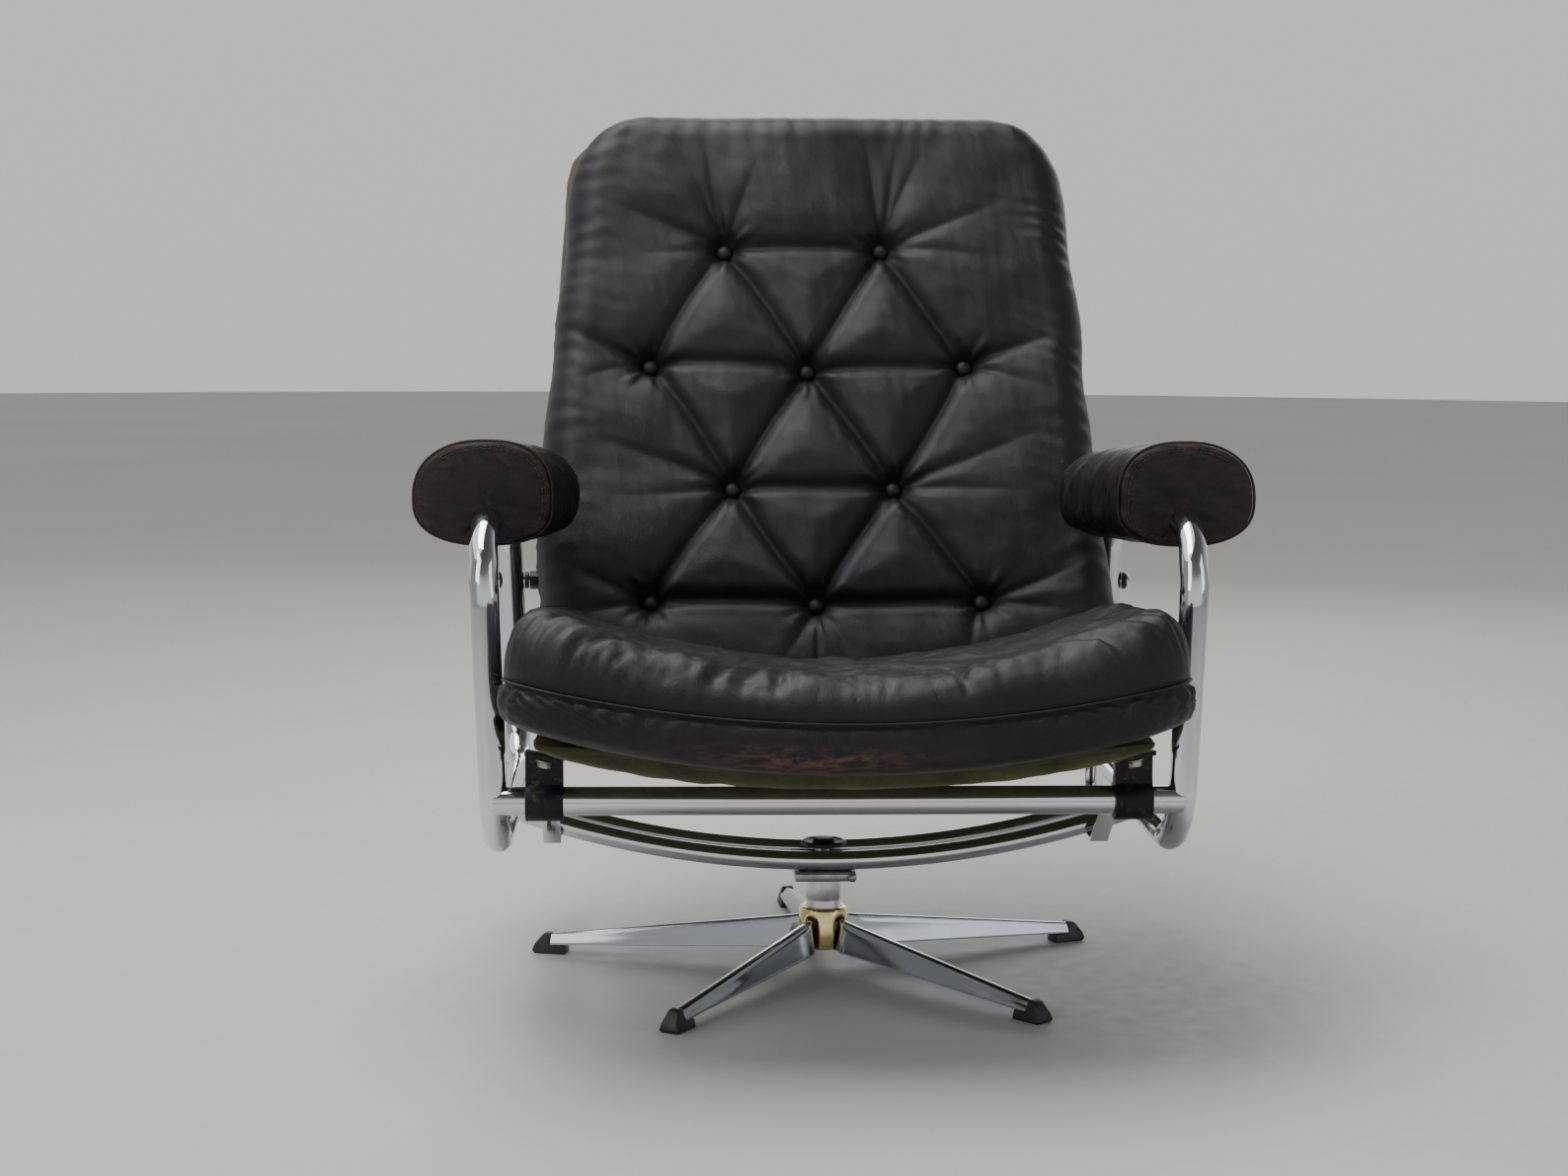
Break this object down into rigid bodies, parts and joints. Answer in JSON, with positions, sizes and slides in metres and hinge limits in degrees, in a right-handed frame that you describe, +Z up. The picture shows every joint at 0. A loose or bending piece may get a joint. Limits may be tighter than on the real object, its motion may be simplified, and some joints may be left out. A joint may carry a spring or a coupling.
{
  "type": "swivel recliner armchair",
  "caption": "Tufted leather swivel recliner armchair: closed tubular side frames with arm pads, seat and back unit tilting on a front crossbar, bowed rails on a five-star pedestal.",
  "frame": {"origin": "centre of the footprint, on the floor", "axes": "+Z up, the chair faces -Y, +X to the right seen from in front"},
  "size_m": [0.7956, 0.9074, 0.8722],
  "materials": {
    "hub_cover": "polished brass casting",
    "leg_1": "bright chrome plate",
    "leg_2": "bright chrome plate",
    "leg_3": "bright chrome plate",
    "leg_4": "bright chrome plate",
    "leg_5": "bright chrome plate",
    "foot_1": "moulded black plastic",
    "foot_2": "moulded black plastic",
    "foot_3": "moulded black plastic",
    "foot_4": "moulded black plastic",
    "foot_5": "moulded black plastic",
    "column": "satin turned steel",
    "spindle": "satin turned steel",
    "swivel_plate": "dull zinc plate",
    "spindle_stud": "dull zinc plate",
    "plate_bolt": "dull zinc plate",
    "hanger_bolt_L": "dull zinc plate",
    "hanger_bolt_R": "dull zinc plate",
    "hanger_washer_L": "dull zinc plate",
    "hanger_washer_R": "dull zinc plate",
    "pad_clip_L": "dull zinc plate",
    "pad_clip_R": "dull zinc plate",
    "rosette": "moulded black plastic",
    "washer_in_L": "moulded black plastic",
    "washer_in_R": "moulded black plastic",
    "washer_out_L": "moulded black plastic",
    "washer_out_R": "moulded black plastic",
    "hanger_L": "moulded black plastic",
    "hanger_R": "moulded black plastic",
    "spindle_nut": "blackened steel",
    "side_nut_L": "blackened steel",
    "side_nut_R": "blackened steel",
    "slot_plate_L": "blackened steel",
    "slot_plate_R": "blackened steel",
    "rail_front": "bright chrome plate",
    "rail_rear": "bright chrome plate",
    "crossbar": "bright chrome plate",
    "side_frame_L": "bright chrome plate",
    "side_frame_R": "bright chrome plate",
    "strap_L": "bright chrome plate",
    "strap_R": "bright chrome plate",
    "side_bolt_L": "bright chrome plate",
    "side_bolt_R": "bright chrome plate",
    "arm_pad_L": "dark brown leather over foam",
    "arm_pad_R": "dark brown leather over foam",
    "seat_cushion": "dark brown leather over foam",
    "back_cushion": "dark brown leather over foam",
    "button_01": "dark brown leather over foam",
    "button_02": "dark brown leather over foam",
    "button_03": "dark brown leather over foam",
    "button_04": "dark brown leather over foam",
    "button_05": "dark brown leather over foam",
    "button_06": "dark brown leather over foam",
    "button_07": "dark brown leather over foam",
    "button_08": "dark brown leather over foam",
    "button_09": "dark brown leather over foam",
    "button_10": "dark brown leather over foam",
    "seat_shell": "olive velour over a shell",
    "back_shell": "olive velour over a shell"
  },
  "bodies": {
    "base": {"hub_cover": "hub_cover", "column": "column", "leg_1": "leg_1", "leg_2": "leg_2", "leg_3": "leg_3", "leg_4": "leg_4", "leg_5": "leg_5", "foot_1": "foot_1", "foot_2": "foot_2", "foot_3": "foot_3", "foot_4": "foot_4", "foot_5": "foot_5"},
    "frame": {"spindle": "spindle", "swivel_plate": "swivel_plate", "spindle_stud": "spindle_stud", "plate_bolt": "plate_bolt", "pad_clip_L": "pad_clip_L", "pad_clip_R": "pad_clip_R", "rosette": "rosette", "washer_in_L": "washer_in_L", "washer_in_R": "washer_in_R", "washer_out_L": "washer_out_L", "washer_out_R": "washer_out_R", "spindle_nut": "spindle_nut", "side_nut_L": "side_nut_L", "side_nut_R": "side_nut_R", "rail_front": "rail_front", "rail_rear": "rail_rear", "crossbar": "crossbar", "side_frame_L": "side_frame_L", "side_frame_R": "side_frame_R", "strap_L": "strap_L", "strap_R": "strap_R", "side_bolt_L": "side_bolt_L", "side_bolt_R": "side_bolt_R", "arm_pad_L": "arm_pad_L", "arm_pad_R": "arm_pad_R"},
    "seat_unit": {"seat_shell": "seat_shell", "seat_cushion": "seat_cushion", "hanger_L": "hanger_L", "hanger_R": "hanger_R", "hanger_washer_L": "hanger_washer_L", "hanger_washer_R": "hanger_washer_R", "hanger_bolt_L": "hanger_bolt_L", "hanger_bolt_R": "hanger_bolt_R", "back_cushion": "back_cushion", "back_shell": "back_shell", "slot_plate_L": "slot_plate_L", "slot_plate_R": "slot_plate_R", "button_01": "button_01", "button_02": "button_02", "button_03": "button_03", "button_04": "button_04", "button_05": "button_05", "button_06": "button_06", "button_07": "button_07", "button_08": "button_08", "button_09": "button_09", "button_10": "button_10"}
  },
  "joints": [
    {"name": "swivel", "type": "hinge", "parent": "base", "child": "frame", "pos_m": [0, -0.0337, 0.0962], "axis": [0, 0, 1], "continuous": true},
    {"name": "tilt", "type": "hinge", "parent": "frame", "child": "seat_unit", "pos_m": [0, -0.2737, 0.2161], "axis": [-1, 0, 0], "range_deg": [-4, 2]}
  ]
}
